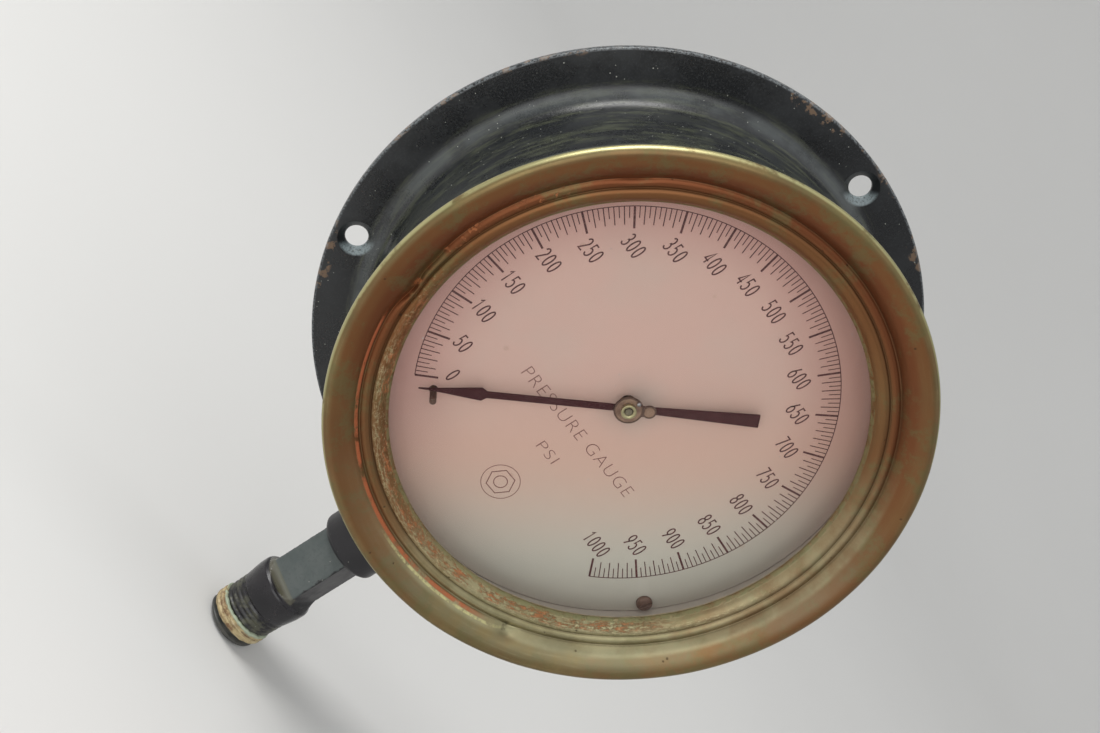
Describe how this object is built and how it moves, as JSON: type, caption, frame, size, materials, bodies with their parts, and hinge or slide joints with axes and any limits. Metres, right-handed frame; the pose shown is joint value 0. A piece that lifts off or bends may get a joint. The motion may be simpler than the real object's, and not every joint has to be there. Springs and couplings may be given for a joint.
{
  "type": "pressure gauge",
  "caption": "Round surface-mount pressure gauge with a deep flanged black case, screwed brass ring, white dial, long pointer and a square-shanked threaded stem.",
  "frame": {"origin": "on the dial axis, in the plane of the flat back of the case", "axes": "+Z towards 12 o clock, the stem points to -Z, +Y is the outward normal of the flat back, and the dial faces -Y"},
  "size_m": [0.1932, 0.0609, 0.253],
  "materials": {
    "case_enamel": "aged black enamel, semi-gloss, with dust, haze and rust at the edge",
    "aged_brass": "tarnished brass, olive brown patina with orange corrosion in the grooves",
    "clean_brass": "machined brass",
    "bronze": "drawn phosphor bronze",
    "steel": "machined steel",
    "dial_silver": "matt silver-white, slightly greyed",
    "black_paint": "matt black",
    "clear_glass": "clear, slightly hazed",
    "packing": "grey-black rubber",
    "fibre": "tan fibre and thread tape"
  },
  "bodies": {
    "housing": {"case": "case_enamel", "socket": "case_enamel", "socket_screw_1": "steel", "socket_screw_2": "steel", "bourdon_tube": "bronze", "front_plate": "clean_brass", "back_plate": "clean_brass", "pillar_1": "clean_brass", "pillar_2": "clean_brass", "pillar_3": "clean_brass", "pillar_4": "clean_brass", "plate_screw_1": "steel", "plate_screw_2": "steel", "plate_screw_3": "steel", "plate_screw_4": "steel", "movement_screw_1": "steel", "movement_screw_2": "steel", "dial": "dial_silver", "dial_liner": "dial_silver", "dial_screw_1": "steel", "dial_screw_2": "steel", "dial_screw_3": "steel", "stop_pin": "clean_brass", "hairspring": "bronze", "hairspring_stud": "clean_brass", "glass": "clear_glass", "gasket": "packing"},
    "pointer_assembly": {"pointer": "black_paint", "pointer_hub": "aged_brass", "pointer_adjusting_screw": "steel", "pinion": "steel"},
    "sector_assembly": {"sector": "clean_brass", "sector_arbor": "steel", "tail_pin": "steel"},
    "link_rod": {"link": "steel"},
    "tube_end": {"tube_tip": "bronze", "tip_pin": "steel"},
    "slip_washer": {"slip_ring": "fibre"},
    "bezel_ring": {"ring": "aged_brass"}
  },
  "joints": [
    {"name": "pointer_turn", "type": "hinge", "parent": "housing", "child": "pointer_assembly", "pos_m": [0, -0.0408, 0], "axis": [0, 1, 0], "range_deg": [0, 272.2], "stiffness_Nm_per_rad": 0.0006, "springref_deg": -28.65, "deforming": ["hairspring"]},
    {"name": "sector_swing", "type": "hinge", "parent": "housing", "child": "sector_assembly", "pos_m": [0.01998, -0.0408, -0.0303], "axis": [0, 1, 0], "range_deg": [-27.25, 0]},
    {"name": "link_swing", "type": "hinge", "parent": "sector_assembly", "child": "link_rod", "pos_m": [0.0297, -0.0408, -0.03266], "axis": [0, 1, 0], "range_deg": [0, 27.25]},
    {"name": "tip_travel", "type": "slide", "parent": "housing", "child": "tube_end", "axis": [0, 0, 1], "range_m": [0, 0.00471], "deforming": ["bourdon_tube"]},
    {"name": "ring_turn", "type": "hinge", "parent": "slip_washer", "child": "bezel_ring", "pos_m": [0, -0.0408, 0], "axis": [0, 1, 0], "range_deg": [-1080, 0]},
    {"name": "ring_travel", "type": "slide", "parent": "housing", "child": "slip_washer", "axis": [0, -1, 0], "range_m": [0, 0.00318]}
  ],
  "couplings": [
    {"joint": "sector_swing", "follows": "pointer_turn", "ratio": -0.1},
    {"joint": "link_swing", "follows": "pointer_turn", "ratio": 0.1},
    {"joint": "tip_travel", "follows": "pointer_turn", "m_per_rad": 0.0009906},
    {"joint": "ring_travel", "follows": "ring_turn", "m_per_rad": -0.00016844}
  ]
}
